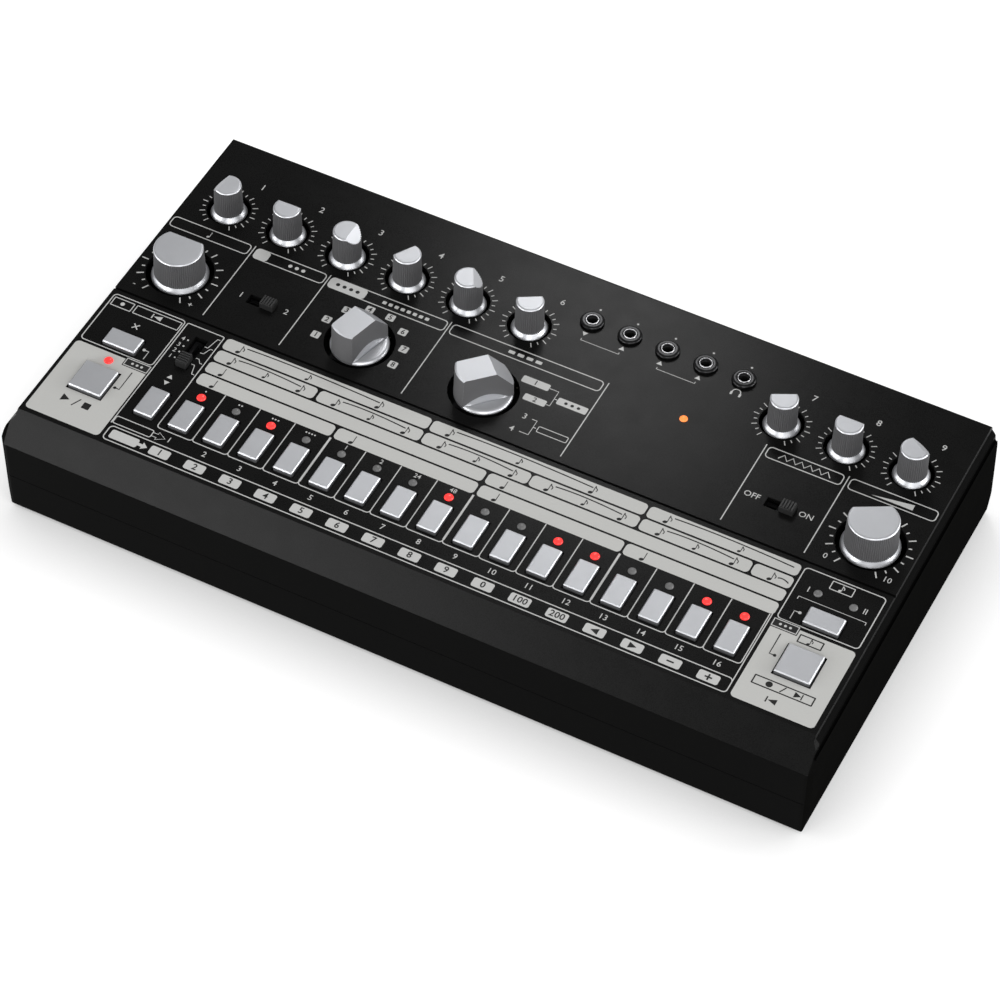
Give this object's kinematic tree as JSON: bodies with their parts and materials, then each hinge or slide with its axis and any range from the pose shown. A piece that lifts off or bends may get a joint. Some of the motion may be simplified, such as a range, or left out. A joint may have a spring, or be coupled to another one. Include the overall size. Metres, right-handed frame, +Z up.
{
  "type": "drum machine",
  "caption": "Desktop drum machine with a sloping control panel, turning knobs, pointer selectors, slide switches, step buttons, lamps, jack sockets and rear sockets.",
  "frame": {"origin": "centre of the bounding box in X and Y, on the surface that the feet stand on", "axes": "+X to the right as the player sees it, +Y to the rear sockets, +Z up"},
  "size_m": [0.305, 0.1637, 0.0613],
  "materials": {
    "case_plastic": "fine satin texture",
    "knob_plastic": "satin silver grey",
    "button_plastic": "satin light grey",
    "lever_plastic": "satin black",
    "board": "dark solder mask",
    "switch_plastic": "moulded black",
    "socket_metal": "bright plated",
    "nut_metal": "black plated",
    "socket_plastic": "moulded black",
    "red_lamp": "glowing red lens",
    "grey_lamp": "milky grey lens",
    "amber_lamp": "glowing amber lens",
    "foot_rubber": "matt black",
    "screw_steel": "zinc plated"
  },
  "bodies": {
    "base": {"top_case": "case_plastic", "bottom_case": "case_plastic", "control_board": "board", "main_board": "board", "small_pots": "switch_plastic", "large_pots": "switch_plastic", "rotary_switches": "switch_plastic", "slide_switches": "switch_plastic", "tact_switches": "switch_plastic", "panel_jacks": "socket_metal", "jack_nuts": "nut_metal", "lit_leds": "red_lamp", "unlit_leds": "grey_lamp", "amber_led": "amber_lamp", "rear_jacks": "socket_plastic", "midi_sockets": "socket_plastic", "usb_socket": "socket_metal", "dc_socket": "socket_plastic", "output_socket": "socket_plastic", "power_switch_body": "socket_plastic", "rubber_feet": "foot_rubber", "screws": "screw_steel"},
    "level_knob_1": {"level_knob_1": "knob_plastic"},
    "level_knob_2": {"level_knob_2": "knob_plastic"},
    "level_knob_3": {"level_knob_3": "knob_plastic"},
    "level_knob_4": {"level_knob_4": "knob_plastic"},
    "level_knob_5": {"level_knob_5": "knob_plastic"},
    "level_knob_6": {"level_knob_6": "knob_plastic"},
    "level_knob_7": {"level_knob_7": "knob_plastic"},
    "level_knob_8": {"level_knob_8": "knob_plastic"},
    "level_knob_9": {"level_knob_9": "knob_plastic"},
    "tempo_knob": {"tempo_knob": "knob_plastic"},
    "volume_knob": {"volume_knob": "knob_plastic"},
    "instrument_selector": {"instrument_selector": "knob_plastic"},
    "mode_selector": {"mode_selector": "knob_plastic"},
    "step_button_01": {"step_button_01": "button_plastic"},
    "step_button_02": {"step_button_02": "button_plastic"},
    "step_button_03": {"step_button_03": "button_plastic"},
    "step_button_04": {"step_button_04": "button_plastic"},
    "step_button_05": {"step_button_05": "button_plastic"},
    "step_button_06": {"step_button_06": "button_plastic"},
    "step_button_07": {"step_button_07": "button_plastic"},
    "step_button_08": {"step_button_08": "button_plastic"},
    "step_button_09": {"step_button_09": "button_plastic"},
    "step_button_10": {"step_button_10": "button_plastic"},
    "step_button_11": {"step_button_11": "button_plastic"},
    "step_button_12": {"step_button_12": "button_plastic"},
    "step_button_13": {"step_button_13": "button_plastic"},
    "step_button_14": {"step_button_14": "button_plastic"},
    "step_button_15": {"step_button_15": "button_plastic"},
    "step_button_16": {"step_button_16": "button_plastic"},
    "function_button": {"function_button": "button_plastic"},
    "clear_button": {"clear_button": "button_plastic"},
    "group_button": {"group_button": "button_plastic"},
    "start_button": {"start_button": "button_plastic"},
    "write_button": {"write_button": "button_plastic"},
    "select_slider": {"select_slider": "lever_plastic"},
    "scale_slider": {"scale_slider": "lever_plastic"},
    "on_off_slider": {"on_off_slider": "lever_plastic"},
    "power_switch": {"power_switch": "lever_plastic"}
  },
  "joints": [
    {"name": "level_knob_1_turn", "type": "hinge", "parent": "base", "child": "level_knob_1", "pos_m": [-0.1327, 0.04262, 0.04854], "axis": [0, -0.0332, 0.9995], "range_deg": [-238, 62]},
    {"name": "level_knob_2_turn", "type": "hinge", "parent": "base", "child": "level_knob_2", "pos_m": [-0.1086, 0.04262, 0.04854], "axis": [0, -0.0332, 0.9995], "range_deg": [-150, 150]},
    {"name": "level_knob_3_turn", "type": "hinge", "parent": "base", "child": "level_knob_3", "pos_m": [-0.0845, 0.04262, 0.04854], "axis": [0, -0.0332, 0.9995], "range_deg": [-60, 240]},
    {"name": "level_knob_4_turn", "type": "hinge", "parent": "base", "child": "level_knob_4", "pos_m": [-0.0604, 0.04262, 0.04854], "axis": [0, -0.0332, 0.9995], "range_deg": [-208.7, 91.3]},
    {"name": "level_knob_5_turn", "type": "hinge", "parent": "base", "child": "level_knob_5", "pos_m": [-0.0363, 0.04262, 0.04854], "axis": [0, -0.0332, 0.9995], "range_deg": [-87.6, 212.4]},
    {"name": "level_knob_6_turn", "type": "hinge", "parent": "base", "child": "level_knob_6", "pos_m": [-0.0122, 0.04262, 0.04854], "axis": [0, -0.0332, 0.9995], "range_deg": [-180.5, 119.5]},
    {"name": "level_knob_7_turn", "type": "hinge", "parent": "base", "child": "level_knob_7", "pos_m": [0.0845, 0.04262, 0.04854], "axis": [0, -0.0332, 0.9995], "range_deg": [-177.6, 122.4]},
    {"name": "level_knob_8_turn", "type": "hinge", "parent": "base", "child": "level_knob_8", "pos_m": [0.1086, 0.04262, 0.04854], "axis": [0, -0.0332, 0.9995], "range_deg": [-150, 150]},
    {"name": "level_knob_9_turn", "type": "hinge", "parent": "base", "child": "level_knob_9", "pos_m": [0.1327, 0.04262, 0.04854], "axis": [0, -0.0332, 0.9995], "range_deg": [-116.3, 183.7]},
    {"name": "tempo_knob_turn", "type": "hinge", "parent": "base", "child": "tempo_knob", "pos_m": [-0.1327, 0.00783, 0.04738], "axis": [0, -0.0332, 0.9995], "range_deg": [-150, 150]},
    {"name": "volume_knob_turn", "type": "hinge", "parent": "base", "child": "volume_knob", "pos_m": [0.1327, 0.00783, 0.04738], "axis": [0, -0.0332, 0.9995], "range_deg": [-179.2, 120.8]},
    {"name": "instrument_selector_turn", "type": "hinge", "parent": "base", "child": "instrument_selector", "pos_m": [-0.0607, 0.00783, 0.04738], "axis": [0, -0.0332, 0.9995], "range_deg": [-90, 120]},
    {"name": "mode_selector_turn", "type": "hinge", "parent": "base", "child": "mode_selector", "pos_m": [-0.0123, 0.00783, 0.04738], "axis": [0, -0.0332, 0.9995], "range_deg": [-90, 0]},
    {"name": "step_button_01_press", "type": "slide", "parent": "base", "child": "step_button_01", "axis": [0, 0.0332, -0.9995], "range_m": [0, 0.0015], "stiffness_N_per_m": 400, "springref_m": -0.001},
    {"name": "step_button_02_press", "type": "slide", "parent": "base", "child": "step_button_02", "axis": [0, 0.0332, -0.9995], "range_m": [0, 0.0015], "stiffness_N_per_m": 400, "springref_m": -0.001},
    {"name": "step_button_03_press", "type": "slide", "parent": "base", "child": "step_button_03", "axis": [0, 0.0332, -0.9995], "range_m": [0, 0.0015], "stiffness_N_per_m": 400, "springref_m": -0.001},
    {"name": "step_button_04_press", "type": "slide", "parent": "base", "child": "step_button_04", "axis": [0, 0.0332, -0.9995], "range_m": [0, 0.0015], "stiffness_N_per_m": 400, "springref_m": -0.001},
    {"name": "step_button_05_press", "type": "slide", "parent": "base", "child": "step_button_05", "axis": [0, 0.0332, -0.9995], "range_m": [0, 0.0015], "stiffness_N_per_m": 400, "springref_m": -0.001},
    {"name": "step_button_06_press", "type": "slide", "parent": "base", "child": "step_button_06", "axis": [0, 0.0332, -0.9995], "range_m": [0, 0.0015], "stiffness_N_per_m": 400, "springref_m": -0.001},
    {"name": "step_button_07_press", "type": "slide", "parent": "base", "child": "step_button_07", "axis": [0, 0.0332, -0.9995], "range_m": [0, 0.0015], "stiffness_N_per_m": 400, "springref_m": -0.001},
    {"name": "step_button_08_press", "type": "slide", "parent": "base", "child": "step_button_08", "axis": [0, 0.0332, -0.9995], "range_m": [0, 0.0015], "stiffness_N_per_m": 400, "springref_m": -0.001},
    {"name": "step_button_09_press", "type": "slide", "parent": "base", "child": "step_button_09", "axis": [0, 0.0332, -0.9995], "range_m": [0, 0.0015], "stiffness_N_per_m": 400, "springref_m": -0.001},
    {"name": "step_button_10_press", "type": "slide", "parent": "base", "child": "step_button_10", "axis": [0, 0.0332, -0.9995], "range_m": [0, 0.0015], "stiffness_N_per_m": 400, "springref_m": -0.001},
    {"name": "step_button_11_press", "type": "slide", "parent": "base", "child": "step_button_11", "axis": [0, 0.0332, -0.9995], "range_m": [0, 0.0015], "stiffness_N_per_m": 400, "springref_m": -0.001},
    {"name": "step_button_12_press", "type": "slide", "parent": "base", "child": "step_button_12", "axis": [0, 0.0332, -0.9995], "range_m": [0, 0.0015], "stiffness_N_per_m": 400, "springref_m": -0.001},
    {"name": "step_button_13_press", "type": "slide", "parent": "base", "child": "step_button_13", "axis": [0, 0.0332, -0.9995], "range_m": [0, 0.0015], "stiffness_N_per_m": 400, "springref_m": -0.001},
    {"name": "step_button_14_press", "type": "slide", "parent": "base", "child": "step_button_14", "axis": [0, 0.0332, -0.9995], "range_m": [0, 0.0015], "stiffness_N_per_m": 400, "springref_m": -0.001},
    {"name": "step_button_15_press", "type": "slide", "parent": "base", "child": "step_button_15", "axis": [0, 0.0332, -0.9995], "range_m": [0, 0.0015], "stiffness_N_per_m": 400, "springref_m": -0.001},
    {"name": "step_button_16_press", "type": "slide", "parent": "base", "child": "step_button_16", "axis": [0, 0.0332, -0.9995], "range_m": [0, 0.0015], "stiffness_N_per_m": 400, "springref_m": -0.001},
    {"name": "function_button_press", "type": "slide", "parent": "base", "child": "function_button", "axis": [0, 0.0332, -0.9995], "range_m": [0, 0.0015], "stiffness_N_per_m": 400, "springref_m": -0.001},
    {"name": "clear_button_press", "type": "slide", "parent": "base", "child": "clear_button", "axis": [0, 0.0332, -0.9995], "range_m": [0, 0.0015], "stiffness_N_per_m": 400, "springref_m": -0.001},
    {"name": "group_button_press", "type": "slide", "parent": "base", "child": "group_button", "axis": [0, 0.0332, -0.9995], "range_m": [0, 0.0015], "stiffness_N_per_m": 400, "springref_m": -0.001},
    {"name": "start_button_press", "type": "slide", "parent": "base", "child": "start_button", "axis": [0, 0.0332, -0.9995], "range_m": [0, 0.0015], "stiffness_N_per_m": 400, "springref_m": -0.001},
    {"name": "write_button_press", "type": "slide", "parent": "base", "child": "write_button", "axis": [0, 0.0332, -0.9995], "range_m": [0, 0.0015], "stiffness_N_per_m": 400, "springref_m": -0.001},
    {"name": "select_slider_slide", "type": "slide", "parent": "base", "child": "select_slider", "axis": [1, 0, 0], "range_m": [-0.0054, 0]},
    {"name": "on_off_slider_slide", "type": "slide", "parent": "base", "child": "on_off_slider", "axis": [1, 0, 0], "range_m": [-0.0054, 0]},
    {"name": "scale_slider_slide", "type": "slide", "parent": "base", "child": "scale_slider", "axis": [0, 0.9995, 0.0332], "range_m": [0, 0.00915]},
    {"name": "power_switch_rock", "type": "hinge", "parent": "base", "child": "power_switch", "pos_m": [0.111, 0.073, 0.03], "axis": [0, 0, 1], "range_deg": [-16, 0]}
  ]
}
